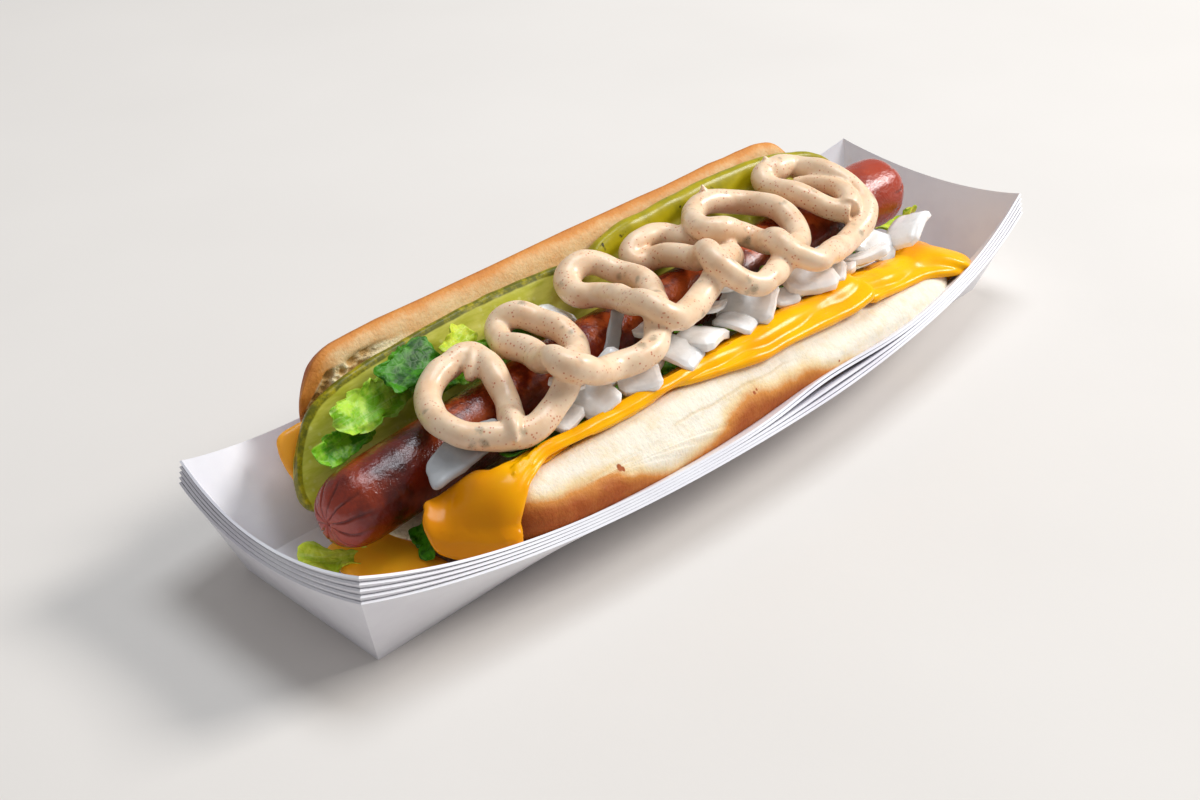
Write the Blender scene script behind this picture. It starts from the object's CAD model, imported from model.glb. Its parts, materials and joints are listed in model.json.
"""Looks of a ten-inch hot dog in a stack of paper trays.

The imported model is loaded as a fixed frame, and each class here makes the finished meshes of one
part of the dish round it. Lengths are in metres, and a field whose name ends in _mm is in
millimetres. The trays' long side runs along X, the front of the food is at negative Y, and Z is up.
"""

from __future__ import annotations

import json
import logging
import math
from dataclasses import dataclass, field
from enum import Enum

import bmesh
import bpy
import numpy as np
from mathutils import Matrix, Vector, noise
from mathutils.bvhtree import BVHTree

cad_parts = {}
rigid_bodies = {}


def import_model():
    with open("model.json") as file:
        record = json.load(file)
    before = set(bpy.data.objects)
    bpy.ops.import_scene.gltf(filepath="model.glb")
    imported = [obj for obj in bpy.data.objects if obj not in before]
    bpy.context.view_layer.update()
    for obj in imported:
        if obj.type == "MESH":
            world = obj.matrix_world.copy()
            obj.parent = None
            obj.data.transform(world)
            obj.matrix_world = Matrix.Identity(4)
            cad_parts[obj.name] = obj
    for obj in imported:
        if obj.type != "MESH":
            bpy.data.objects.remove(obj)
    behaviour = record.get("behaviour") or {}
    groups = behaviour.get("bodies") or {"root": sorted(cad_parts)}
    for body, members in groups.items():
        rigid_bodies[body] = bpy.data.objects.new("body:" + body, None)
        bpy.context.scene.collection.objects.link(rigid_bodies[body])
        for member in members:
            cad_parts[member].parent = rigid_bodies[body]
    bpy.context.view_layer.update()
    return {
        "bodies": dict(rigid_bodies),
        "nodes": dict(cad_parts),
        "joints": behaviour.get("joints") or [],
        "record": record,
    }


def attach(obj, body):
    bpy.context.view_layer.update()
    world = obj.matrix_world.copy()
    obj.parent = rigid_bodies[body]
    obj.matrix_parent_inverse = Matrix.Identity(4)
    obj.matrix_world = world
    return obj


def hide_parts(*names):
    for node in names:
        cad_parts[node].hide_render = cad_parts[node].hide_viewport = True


LOG = logging.getLogger("hot_dog")
MM = 0.001

Colour = tuple[float, float, float]
Place = tuple[float, float, float]
Pairs = tuple[tuple[float, float], ...]
Socket = bpy.types.NodeSocket


def linear(red: float, green: float, blue: float) -> Colour:
    """Turns a screen colour, 0 to 255, into the linear colour that shaders use.

    Args:
        red: Red from 0 to 255.
        green: Green from 0 to 255.
        blue: Blue from 0 to 255.

    Returns:
        The linear colour, each value from 0 to 1.
    """
    return tuple(
        c / 12.92 if c <= 0.04045 else ((c + 0.055) / 1.055) ** 2.4
        for c in (red / 255, green / 255, blue / 255)
    )


def ease(t: np.ndarray) -> np.ndarray:
    """0 below 0, 1 above 1, and an even S between them."""
    t = np.clip(t, 0.0, 1.0)
    return t * t * (3 - 2 * t)


def along(stations: Pairs, x: np.ndarray) -> np.ndarray:
    """Value at every x, from stations that each hold a place and a value."""
    return np.interp(x, *np.array(stations).T)


def new_object(name: str, data: bpy.types.ID) -> bpy.types.Object:
    """Makes an object and puts it into the scene.

    Args:
        name: The object's name.
        data: Its mesh, camera or light.

    Returns:
        The new object.
    """
    made = bpy.data.objects.new(name, data)
    bpy.context.scene.collection.objects.link(made)
    return made


def mesh_of(name: str, points: list, faces: list[tuple[int, ...]]) -> bpy.types.Mesh:
    """Makes a mesh whose faces all look the same way.

    Args:
        name: The mesh's name.
        points: Its points in metres.
        faces: The numbers of each face's points.

    Returns:
        The new mesh.
    """
    mesh = bpy.data.meshes.new(name)
    mesh.from_pydata(points, [], faces)
    shaped = bmesh.new()
    shaped.from_mesh(mesh)
    bmesh.ops.recalc_face_normals(shaped, faces=shaped.faces)
    shaped.to_mesh(mesh)
    shaped.free()
    return mesh


class Shading:
    """Builds one procedural material, socket by socket."""

    def __init__(self, name: str) -> None:
        """Starts a material with one Principled shader.

        Args:
            name: The material's name.
        """
        self.material = bpy.data.materials.new(name)
        self.material.use_nodes = True
        self.tree = self.material.node_tree
        self.shader = self.tree.nodes["Principled BSDF"]
        self.place = self.tree.nodes.new("ShaderNodeTexCoord").outputs["Object"]

    def put(self, target: Socket, value: Socket | float | Colour) -> None:
        """Links a socket to a value, or writes a plain value on it.

        Args:
            target: The socket to fill.
            value: What fills it.
        """
        if isinstance(value, bpy.types.NodeSocket):
            self.tree.links.new(value, target)
        elif isinstance(value, tuple) and len(target.default_value) == 4:
            target.default_value = (*value, 1.0)
        else:
            target.default_value = value

    def stretched(self, x: float, y: float, z: float) -> Socket:
        """The place, scaled along each axis.

        Args:
            x: Factor along X.
            y: Factor along Y.
            z: Factor along Z.

        Returns:
            The socket that holds the scaled place.
        """
        node = self.tree.nodes.new("ShaderNodeMapping")
        self.tree.links.new(self.place, node.inputs["Vector"])
        node.inputs["Scale"].default_value = (x, y, z)
        return node.outputs["Vector"]

    def noise(self, size_mm: float, detail: float = 3.0, rough: float = 0.5, twist: float = 0.0,
              place: Socket | None = None) -> Socket:
        """Soft noise, from 0 to 1.

        Args:
            size_mm: Rough size of one blotch.
            detail: Number of finer layers.
            rough: Strength of the finer layers.
            twist: Distortion of the pattern.
            place: Coordinates to read, the object's own when left out.

        Returns:
            The socket that holds the noise.
        """
        node = self.tree.nodes.new("ShaderNodeTexNoise")
        node.inputs["Scale"].default_value = 1 / (size_mm * MM)
        node.inputs["Detail"].default_value = detail
        node.inputs["Roughness"].default_value = rough
        node.inputs["Distortion"].default_value = twist
        self.tree.links.new(place or self.place, node.inputs["Vector"])
        return node.outputs["Fac"]

    def cells(self, size_mm: float, feature: str = "F1") -> Socket:
        """Cell pattern.

        Args:
            size_mm: Rough size of one cell.
            feature: Which distance the pattern measures.

        Returns:
            The socket that holds the distance.
        """
        node = self.tree.nodes.new("ShaderNodeTexVoronoi")
        node.feature = feature
        node.inputs["Scale"].default_value = 1 / (size_mm * MM)
        self.tree.links.new(self.place, node.inputs["Vector"])
        return node.outputs["Distance"]

    def ramp(self, value: Socket, stops: list[tuple[float, Colour]]) -> Socket:
        """Colours along a value from 0 to 1.

        Args:
            value: The value that is read.
            stops: Places on it, each with its colour.

        Returns:
            The socket that holds the colour.
        """
        node = self.tree.nodes.new("ShaderNodeValToRGB")
        bar = node.color_ramp.elements
        while len(bar) < len(stops):
            bar.new(0.5)
        for element, (at, colour) in zip(bar, stops):
            element.position = at
            element.color = (*colour, 1.0)
        self.tree.links.new(value, node.inputs["Fac"])
        return node.outputs["Color"]

    def window(self, value: Socket, low: float, high: float) -> Socket:
        """0 below low, 1 above high and an even rise between them.

        Args:
            value: The value that is read.
            low: Where the rise starts.
            high: Where it ends. Below low it turns the window round.

        Returns:
            The socket that holds the share.
        """
        node = self.tree.nodes.new("ShaderNodeMapRange")
        node.interpolation_type = "SMOOTHSTEP"
        turned = low > high
        node.inputs["From Min"].default_value = min(low, high)
        node.inputs["From Max"].default_value = max(low, high)
        node.inputs["To Min"].default_value = 1.0 if turned else 0.0
        node.inputs["To Max"].default_value = 0.0 if turned else 1.0
        self.tree.links.new(value, node.inputs["Value"])
        return node.outputs["Result"]

    def maths(self, operation: str, a: Socket | float, b: Socket | float = 0.0) -> Socket:
        """One sum on two values.

        Args:
            operation: Name of the sum.
            a: First value.
            b: Second value.

        Returns:
            The socket that holds the result.
        """
        node = self.tree.nodes.new("ShaderNodeMath")
        node.operation = operation
        self.put(node.inputs[0], a)
        self.put(node.inputs[1], b)
        return node.outputs["Value"]

    def scaled(self, value: Socket, by: float) -> Socket:
        """A value times a number."""
        return self.maths("MULTIPLY", value, by)

    def swing(self, value: Socket, by: float) -> Socket:
        """A value from 0 to 1 turned into one on both sides of 0, times a number."""
        return self.scaled(self.maths("SUBTRACT", value, 0.5), by)

    def both(self, a: Socket, b: Socket) -> Socket:
        """Where both patterns are."""
        return self.maths("MULTIPLY", a, b)

    def mix(self, share: Socket | float, a: Socket | Colour, b: Socket | Colour) -> Socket:
        """Mixes two colours.

        Args:
            share: How much of the second colour is seen.
            a: First colour.
            b: Second colour.

        Returns:
            The socket that holds the mixed colour.
        """
        node = self.tree.nodes.new("ShaderNodeMix")
        node.data_type = "RGBA"
        self.put(node.inputs["Factor"], share)
        self.put(node.inputs[6], a)
        self.put(node.inputs[7], b)
        return node.outputs[2]

    def mark(self, name: str) -> Socket:
        """A value painted on the mesh.

        Args:
            name: The name that it is painted under.

        Returns:
            The socket that holds the value.
        """
        node = self.tree.nodes.new("ShaderNodeAttribute")
        node.attribute_name = name
        return node.outputs["Fac"]

    def axes(self) -> tuple[Socket, Socket, Socket]:
        """The place taken apart.

        Returns:
            The sockets that hold X, Y and Z.
        """
        node = self.tree.nodes.new("ShaderNodeSeparateXYZ")
        self.tree.links.new(self.place, node.inputs["Vector"])
        return node.outputs["X"], node.outputs["Y"], node.outputs["Z"]

    def bump(self, value: Socket, depth_mm: float, strength: float = 1.0,
             under: Socket | None = None) -> Socket:
        """Relief of a given depth.

        Args:
            value: Height, from 0 to 1.
            depth_mm: Depth of the relief.
            strength: How strongly it shows.
            under: Another relief that it lies on.

        Returns:
            The socket that holds the relief.
        """
        node = self.tree.nodes.new("ShaderNodeBump")
        node.inputs["Strength"].default_value = strength
        node.inputs["Distance"].default_value = depth_mm * MM
        self.tree.links.new(value, node.inputs["Height"])
        if under is not None:
            self.tree.links.new(under, node.inputs["Normal"])
        return node.outputs["Normal"]

    def finish(self, colour: Socket | Colour, rough: Socket | float, normal: Socket | None = None,
               **plain: float | Colour) -> bpy.types.Material:
        """Links the main sockets and sets the plain ones.

        Args:
            colour: Base colour.
            rough: Roughness.
            normal: Relief.
            **plain: Sockets that are the same all over, with spaces written as underscores.

        Returns:
            The finished material.
        """
        self.put(self.shader.inputs["Base Color"], colour)
        self.put(self.shader.inputs["Roughness"], rough)
        if normal is not None:
            self.tree.links.new(normal, self.shader.inputs["Normal"])
        for name, value in plain.items():
            self.shader.inputs[name.replace("_", " ")].default_value = value
        return self.material


@dataclass(frozen=True)
class PaperFinish:
    """White coated board, cool in the shade and a little soiled."""

    board: Colour = linear(240, 239, 243)
    shade: Colour = linear(228, 225, 232)
    stain: Colour = linear(214, 200, 190)
    cloud_mm: float = 38.0
    fibre_mm: float = 0.9
    soil_mm: float = 13.0
    dent_mm: float = 14.0
    rough: float = 0.48

    def material(self) -> bpy.types.Material:
        """Makes the material.

        Returns:
            The finished material.
        """
        s = Shading("paper")
        cloud = s.noise(self.cloud_mm, 4, 0.6)
        fibre = s.noise(self.fibre_mm, 2, 0.6)
        colour = s.mix(s.window(cloud, 0.38, 0.72), self.board, self.shade)
        colour = s.mix(s.scaled(s.window(fibre, 0.5, 0.8), 0.15), colour, self.shade)
        soil = s.window(s.noise(self.soil_mm, 5, 0.7), 0.64, 0.76)
        colour = s.mix(s.scaled(soil, 0.25), colour, self.stain)
        relief = s.bump(s.noise(self.dent_mm, 3), 0.25, 0.35)
        relief = s.bump(fibre, 0.03, 0.4, relief)
        return s.finish(colour, self.rough, relief, Specular_IOR_Level=0.4)


@dataclass(frozen=True)
class BunFinish:
    """Pale steamed side, golden crust and open crumb of the bun."""

    pale: Colour = linear(240, 231, 213)
    cream: Colour = linear(234, 206, 156)
    gold: Colour = linear(212, 138, 58)
    brown: Colour = linear(166, 80, 18)
    crumb: Colour = linear(246, 229, 188)
    hole: Colour = linear(206, 164, 98)
    crease: Colour = linear(206, 160, 72)
    butter: Colour = linear(234, 212, 170)
    crease_at_mm: tuple[float, float] = (-40.0, 16.0)
    crease_height_mm: float = 28.6
    crease_width_mm: float = 0.6
    crease_wander_mm: float = 3.2
    specks_mm: tuple[tuple[float, float, float], ...] = (
        (-58.4, 27.5, 0.9), (-57.6, 26.9, 0.6), (-5, 26.5, 0.5), (-3.8, 26.9, 0.35), (31, 22, 0.4))
    grain_mm: float = 0.9
    cloud_mm: float = 9.0
    mottle_mm: float = 4.5
    wrinkle_mm: float = 1.6
    dimple_mm: float = 5.0
    hollow_mm: float = 1.4
    rough: float = 0.6

    def speck(self, s: Shading, at: float, up: float, size: float) -> Socket:
        """One burnt speck on the front of the crust.

        Args:
            s: The material in the making.
            at: The speck's X in millimetres.
            up: Its height in millimetres.
            size: Its radius in millimetres.

        Returns:
            1 inside the speck.
        """
        x, y, z = s.axes()
        wide = s.maths("SUBTRACT", x, at * MM)
        tall = s.maths("SUBTRACT", z, up * MM)
        away = s.maths("SQRT", s.maths("ADD", s.both(wide, wide), s.both(tall, tall)))
        front = s.window(y, -20 * MM, -25 * MM)
        return s.both(s.window(away, size * 1.1 * MM, size * 0.7 * MM), front)

    def crease_line(self, s: Shading) -> Socket:
        """The long shallow fold in the front of the crust.

        Args:
            s: The material in the making.

        Returns:
            1 on the fold's line.
        """
        x, _, z = s.axes()
        middle = sum(self.crease_at_mm) / 2 * MM
        half = (self.crease_at_mm[1] - self.crease_at_mm[0]) / 2 * MM
        wander = s.swing(s.noise(16, 3), self.crease_wander_mm * MM)
        above = s.maths("SUBTRACT", z, self.crease_height_mm * MM)
        off = s.maths("ABSOLUTE", s.maths("ADD", above, wander))
        line = s.window(off, self.crease_width_mm * MM, 0.05 * MM)
        reach = s.maths("ABSOLUTE", s.maths("SUBTRACT", x, middle))
        return s.both(line, s.window(reach, half, half * 0.7))

    def crust(self, s: Shading, fine: Socket, crease: Socket) -> Socket:
        """Colour of the crust, from pale to brown.

        Args:
            s: The material in the making.
            fine: Fine grain.
            crease: The crease's line.

        Returns:
            The colour.
        """
        cloud = s.noise(self.cloud_mm, 5, 0.65)
        baked = s.maths("ADD", s.mark("baked"), s.swing(cloud, 0.42))
        baked = s.maths("ADD", baked, s.swing(fine, 0.22))
        crust = s.ramp(baked, [(0.0, self.pale), (0.26, self.cream), (0.56, self.gold), (0.95, self.brown)])
        crust = s.mix(s.scaled(crease, 0.3), crust, self.crease)
        mottle = s.window(s.noise(self.mottle_mm, 5, 0.7, 0.5), 0.46, 0.66)
        unbaked = s.window(baked, 0.4, 0.15)
        crust = s.mix(s.both(s.scaled(mottle, 0.35), unbaked), crust, self.butter)
        for at, up, size in self.specks_mm:
            crust = s.mix(self.speck(s, at, up, size), crust, self.brown)
        return crust

    def material(self) -> bpy.types.Material:
        """Makes the material, which reads the marks baked, cut and pit from the mesh.

        Returns:
            The finished material.
        """
        s = Shading("bun")
        fine = s.noise(self.grain_mm, 4, 0.65)
        crease = self.crease_line(s)
        patch = s.window(s.noise(5, 2), 0.42, 0.6)
        hollow = s.both(s.window(s.noise(self.hollow_mm, 4, 0.7), 0.52, 0.68), patch)
        loose = s.mix(s.scaled(hollow, 0.35), self.crumb, self.hole)
        loose = s.mix(s.mark("pit"), loose, self.hole)
        cut = s.mark("cut")
        colour = s.mix(cut, self.crust(s, fine, crease), loose)
        wrinkle = s.noise(self.wrinkle_mm, 3, 0.6, 0.4, s.stretched(1.0, 0.35, 0.3))
        skin = s.bump(fine, 0.22, 0.7)
        skin = s.bump(wrinkle, 0.4, 0.4, skin)
        skin = s.bump(s.noise(self.dimple_mm, 4, 0.6), 1.1, 0.4, skin)
        skin = s.bump(crease, -0.15, 0.5, skin)
        open_crumb = s.bump(s.maths("SUBTRACT", fine, hollow), 0.6, 0.9)
        relief = s.mix(cut, skin, open_crumb)
        return s.finish(colour, self.rough, relief, Subsurface_Weight=0.1,
                        Subsurface_Radius=(1.0, 0.6, 0.3), Subsurface_Scale=0.002, Specular_IOR_Level=0.35)


@dataclass(frozen=True)
class SausageFinish:
    """Tight grilled skin, dark red-brown with lighter ends."""

    dark: Colour = linear(66, 12, 3)
    red: Colour = linear(116, 28, 7)
    warm: Colour = linear(168, 62, 20)
    tip: Colour = linear(172, 62, 34)
    amber: Colour = linear(206, 96, 40)
    blotch_mm: float = 16.0
    blush_mm: float = 9.0
    sear_mm: float = 7.0
    wrinkle_mm: float = 1.5
    ripple_mm: float = 3.4

    def material(self) -> bpy.types.Material:
        """Makes the material, which reads the marks tip, top and groove from the mesh.

        Returns:
            The finished material.
        """
        s = Shading("sausage")
        blotch = s.noise(self.blotch_mm, 4, 0.6, 0.4)
        colour = s.mix(s.window(blotch, 0.36, 0.62), self.dark, self.red)
        colour = s.mix(s.scaled(s.window(s.noise(self.blush_mm, 3), 0.45, 0.75), 0.5), colour, self.warm)
        seared = s.both(s.mark("top"), s.window(s.noise(self.sear_mm, 4, 0.65), 0.36, 0.6))
        colour = s.mix(s.scaled(seared, 0.75), colour, self.amber)
        colour = s.mix(s.mark("tip"), colour, self.tip)
        colour = s.mix(s.scaled(s.mark("groove"), 0.75), colour, self.dark)
        relief = s.bump(s.noise(self.wrinkle_mm, 3, 0.65), 0.34, 0.95)
        ripple = s.noise(self.ripple_mm, 2, 0.5, 0.0, s.stretched(0.6, 1.0, 1.0))
        relief = s.bump(ripple, 0.3, 0.6, relief)
        rough = s.maths("ADD", s.scaled(s.noise(4, 3), 0.2), 0.1)
        return s.finish(colour, rough, relief, Coat_Weight=0.2, Coat_Roughness=0.15,
                        Coat_Tint=(0.92, 0.85, 1.0, 1.0), Specular_IOR_Level=0.45)


@dataclass(frozen=True)
class SauceFinish:
    """Beige mayonnaise sauce with orange specks and blurred bits of herb."""

    cream: Colour = linear(244, 215, 182)
    deep: Colour = linear(232, 193, 154)
    speck: Colour = linear(196, 88, 40)
    herb: Colour = linear(98, 98, 76)
    fleck: Colour = linear(48, 52, 36)
    cloud_mm: float = 7.0
    speck_mm: float = 1.25
    herb_mm: float = 4.4
    fleck_mm: float = 0.8
    rough: float = 0.36

    def material(self) -> bpy.types.Material:
        """Makes the material.

        Returns:
            The finished material.
        """
        s = Shading("sauce")
        cloud = s.noise(self.cloud_mm, 3, 0.55)
        colour = s.mix(s.window(cloud, 0.35, 0.75), self.cream, self.deep)
        seen = s.window(s.noise(5, 2), 0.4, 0.55)
        speck = s.both(s.window(s.cells(self.speck_mm), 0.3, 0.14), seen)
        colour = s.mix(s.scaled(speck, 0.75), colour, self.speck)
        chance = s.window(s.noise(9, 2, 0.5, 0.0, s.stretched(1.0, 1.0, 0.6)), 0.56, 0.64)
        torn = s.maths("ADD", s.cells(self.herb_mm), s.swing(s.noise(1.2, 3), 0.35))
        herb = s.both(s.window(torn, 0.45, 0.1), chance)
        colour = s.mix(s.scaled(herb, 0.5), colour, self.herb)
        fleck = s.both(s.window(s.cells(self.fleck_mm), 0.22, 0.12), herb)
        colour = s.mix(s.scaled(fleck, 0.7), colour, self.fleck)
        relief = s.bump(s.noise(2.6, 4, 0.6), 0.2, 0.5)
        return s.finish(colour, self.rough, relief, Subsurface_Weight=0.2,
                        Subsurface_Radius=(1.0, 0.6, 0.35), Subsurface_Scale=0.0015,
                        Coat_Weight=0.15, Coat_Roughness=0.2)


@dataclass(frozen=True)
class CheeseFinish:
    """Melted processed cheese, glossy and even."""

    lit: Colour = linear(255, 186, 0)
    deep: Colour = linear(254, 168, 0)
    thin: Colour = linear(250, 170, 64)
    hanging: Colour = linear(212, 128, 4)
    cloud_mm: float = 12.0
    rough: float = 0.2

    def material(self) -> bpy.types.Material:
        """Makes the material, which reads the marks thin and hanging from the mesh.

        Returns:
            The finished material.
        """
        s = Shading("cheese")
        cloud = s.noise(self.cloud_mm, 3, 0.5)
        colour = s.mix(s.window(cloud, 0.35, 0.7), self.lit, self.deep)
        colour = s.mix(s.mark("thin"), colour, self.thin)
        colour = s.mix(s.mark("hanging"), colour, self.hanging)
        relief = s.bump(s.noise(6, 2), 0.15, 0.3)
        return s.finish(colour, self.rough, relief, Subsurface_Weight=0.1,
                        Subsurface_Radius=(1.0, 0.4, 0.02), Subsurface_Scale=0.0012, Specular_IOR_Level=0.18)


@dataclass(frozen=True)
class PickleFinish:
    """Wet pickle plank: pale flesh with paler seeds, thin dark skin and a broad olive back."""

    flesh: Colour = linear(206, 200, 92)
    deep: Colour = linear(176, 174, 48)
    seed: Colour = linear(222, 220, 150)
    olive: Colour = linear(176, 160, 12)
    moss: Colour = linear(150, 140, 18)
    skin: Colour = linear(96, 96, 18)
    spot: Colour = linear(70, 62, 10)
    grain_mm: float = 3.2
    seed_mm: float = 2.6
    peel_mm: float = 3.5
    moss_mm: float = 9.0
    rough: float = 0.32

    def material(self) -> bpy.types.Material:
        """Makes the material, which reads the marks skin and back from the mesh.

        Returns:
            The finished material.
        """
        s = Shading("pickle")
        grain = s.noise(self.grain_mm, 3, 0.6, 0.0, s.stretched(0.25, 1.0, 1.0))
        flesh = s.mix(s.window(grain, 0.35, 0.7), self.flesh, self.deep)
        flesh = s.mix(s.scaled(s.window(s.cells(self.seed_mm), 0.3, 0.1), 0.3), flesh, self.seed)
        peel = s.mix(s.window(s.noise(self.peel_mm, 4, 0.7), 0.4, 0.75), self.skin, self.olive)
        broad = s.mix(s.window(s.noise(self.moss_mm, 3, 0.6), 0.35, 0.7), self.olive, self.moss)
        broad = s.mix(s.window(s.noise(3.2, 3), 0.64, 0.72), broad, self.spot)
        colour = s.mix(s.window(s.mark("skin"), 0.3, 0.8), flesh, peel)
        colour = s.mix(s.mark("back"), colour, broad)
        relief = s.bump(grain, 0.2, 0.4)
        relief = s.bump(s.noise(1.0, 2), 0.06, 0.5, relief)
        return s.finish(colour, self.rough, relief, Subsurface_Weight=0.15,
                        Subsurface_Radius=(0.9, 1.0, 0.3), Subsurface_Scale=0.002,
                        Coat_Weight=0.05, Coat_Roughness=0.12, Specular_IOR_Level=0.2)


class Leafage(Enum):
    """Kinds of lettuce leaf in the dish, as blade, deep and rib colours."""

    FRESH = ((126, 188, 28), (62, 132, 10), (200, 218, 112))
    PALE = ((176, 214, 66), (116, 176, 24), (228, 236, 168))
    DARK = ((60, 130, 8), (20, 70, 2), (110, 164, 36))
    YELLOW = ((204, 214, 60), (164, 188, 30), (232, 236, 160))


@dataclass(frozen=True)
class LettuceFinish:
    """A crinkled lettuce leaf with paler streaks."""

    kind: Leafage
    streak_length_mm: float = 2.2
    streaks_across_mm: float = 9.0
    crinkle_mm: float = 2.4
    rough: float = 0.42

    def material(self) -> bpy.types.Material:
        """Makes the material, which reads the marks along and across from the mesh.

        Returns:
            The finished material.
        """
        blade, deep, rib = (linear(*c) for c in self.kind.value)
        s = Shading("lettuce_" + self.kind.name.lower())
        own = s.tree.nodes.new("ShaderNodeCombineXYZ")
        s.put(own.inputs["X"], s.scaled(s.mark("across"), self.streaks_across_mm * MM))
        s.put(own.inputs["Y"], s.scaled(s.mark("along"), self.streak_length_mm * MM))
        streak = s.window(s.noise(1.0, 3, 0.55, 0.6, own.outputs["Vector"]), 0.5, 0.68)
        colour = s.mix(s.window(s.noise(5, 4, 0.6), 0.4, 0.62), blade, deep)
        colour = s.mix(s.scaled(streak, 0.25), colour, rib)
        crinkle = s.cells(self.crinkle_mm, "DISTANCE_TO_EDGE")
        colour = s.mix(s.scaled(s.window(crinkle, 0.07, 0.0), 0.07), colour, rib)
        relief = s.bump(s.window(crinkle, 0.0, 0.35), 0.3, 0.4)
        relief = s.bump(s.noise(1.3, 3), 0.12, 0.4, relief)
        return s.finish(colour, self.rough, relief, Subsurface_Weight=0.2,
                        Subsurface_Radius=(0.5, 1.0, 0.1), Subsurface_Scale=0.001, Specular_IOR_Level=0.22)


@dataclass(frozen=True)
class OnionFinish:
    """Raw white onion, wet and half clear."""

    flesh: Colour = linear(254, 252, 249)
    cool: Colour = linear(232, 231, 229)
    clear: Colour = linear(150, 153, 157)
    cloud_mm: float = 5.0
    line_mm: float = 1.1
    rough: float = 0.2

    def material(self) -> bpy.types.Material:
        """Makes the material, which reads the mark clear from the mesh.

        Returns:
            The finished material.
        """
        s = Shading("onion")
        cloud = s.noise(self.cloud_mm, 3, 0.55)
        lines = s.noise(self.line_mm, 2, 0.5, 0.3, s.stretched(0.25, 0.25, 1.0))
        colour = s.mix(s.window(cloud, 0.4, 0.7), self.flesh, self.cool)
        colour = s.mix(s.scaled(s.window(lines, 0.5, 0.75), 0.3), colour, self.cool)
        colour = s.mix(s.mark("clear"), colour, self.clear)
        relief = s.bump(lines, 0.1, 0.4)
        relief = s.bump(s.noise(2.5, 2), 0.2, 0.4, relief)
        return s.finish(colour, self.rough, relief, Subsurface_Weight=0.6,
                        Subsurface_Radius=(1.0, 0.92, 0.86), Subsurface_Scale=0.004, Specular_IOR_Level=0.45)


@dataclass
class Refiner:
    """Turns the coarse mesh of a CAD node into a fine one that can take relief."""

    frame: dict

    def copy(self, node: str, name: str, levels: int, plain: bool = False) -> bpy.types.Object:
        """Copies a node's mesh, closes its seams and subdivides it evenly.

        Args:
            node: Name of the CAD node.
            name: Name of the new piece.
            levels: Subdivision levels.
            plain: Keeps the faces flat and only softens the edges.

        Returns:
            The new object, with a plain mesh.
        """
        mesh = self.frame["nodes"][node].data.copy()
        mesh.name = name
        mesh.materials.clear()
        shaped = bmesh.new()
        shaped.from_mesh(mesh)
        bmesh.ops.remove_doubles(shaped, verts=shaped.verts, dist=2e-6)
        bmesh.ops.join_triangles(shaped, faces=shaped.faces, angle_face_threshold=math.radians(60),
                                 angle_shape_threshold=math.radians(60), cmp_seam=False, cmp_sharp=False,
                                 cmp_uvs=False, cmp_vcols=False, cmp_materials=False)
        shaped.to_mesh(mesh)
        shaped.free()
        piece = new_object(name, mesh)
        finer = piece.modifiers.new("finer", "SUBSURF")
        finer.levels = finer.render_levels = levels
        if plain:
            finer.subdivision_type = "SIMPLE"
            soft = piece.modifiers.new("soft", "SMOOTH")
            soft.factor = 0.4
            soft.iterations = 1
        self.apply(piece)
        return piece

    def melt(self, piece: bpy.types.Object, voxel_mm: float, passes: int) -> None:
        """Turns a piece into one even skin of small faces, softened.

        Args:
            piece: The piece.
            voxel_mm: Size of the faces.
            passes: Smoothing passes.
        """
        skin = piece.modifiers.new("skin", "REMESH")
        skin.mode = "VOXEL"
        skin.voxel_size = voxel_mm * MM
        skin.adaptivity = 0.0
        self.soften(piece, passes)

    def soften(self, piece: bpy.types.Object, passes: int) -> None:
        """Evens out a piece's skin.

        Args:
            piece: The piece.
            passes: Smoothing passes.
        """
        soft = piece.modifiers.new("soft", "SMOOTH")
        soft.factor = 0.5
        soft.iterations = passes
        self.apply(piece)

    @staticmethod
    def apply(piece: bpy.types.Object) -> None:
        """Bakes the piece's modifiers into its mesh.

        Args:
            piece: The piece.
        """
        bpy.context.view_layer.update()
        graph = bpy.context.evaluated_depsgraph_get()
        made = bpy.data.meshes.new_from_object(piece.evaluated_get(graph))
        old = piece.data
        made.name = piece.name
        piece.modifiers.clear()
        piece.data = made
        bpy.data.meshes.remove(old)


def points_of(piece: bpy.types.Object) -> np.ndarray:
    """Reads the piece's points.

    Args:
        piece: The piece.

    Returns:
        One row for each point.
    """
    flat = np.empty(len(piece.data.vertices) * 3, np.float32)
    piece.data.vertices.foreach_get("co", flat)
    return flat.reshape(-1, 3).astype(float)


def normals_of(piece: bpy.types.Object) -> np.ndarray:
    """Reads the piece's point normals.

    Args:
        piece: The piece.

    Returns:
        One row for each point.
    """
    flat = np.empty(len(piece.data.vertices) * 3, np.float32)
    piece.data.vertex_normals.foreach_get("vector", flat)
    return flat.reshape(-1, 3).astype(float)


def set_points(piece: bpy.types.Object, points: np.ndarray) -> None:
    """Writes the piece's points back."""
    piece.data.vertices.foreach_set("co", points.astype(np.float32).ravel())
    piece.data.update()


def paint(piece: bpy.types.Object, name: str, values: np.ndarray) -> None:
    """Paints a value on each point of the piece, for its material to read."""
    layer = piece.data.attributes.new(name, "FLOAT", "POINT")
    layer.data.foreach_set("value", np.clip(values, 0, 1).astype(np.float32))


def clouds(points: np.ndarray, size_mm: float, seed: float = 0.0, octaves: int = 2) -> np.ndarray:
    """Soft noise of about -1 to 1 at each point.

    Args:
        points: Points in metres.
        size_mm: Rough size of one blotch.
        seed: Moves the pattern.
        octaves: Number of finer layers.

    Returns:
        One value for each point.
    """
    places = points / (size_mm * MM) + seed
    return np.array([noise.fractal(Vector(p), 1.0, 2.0, octaves) for p in places])


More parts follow.
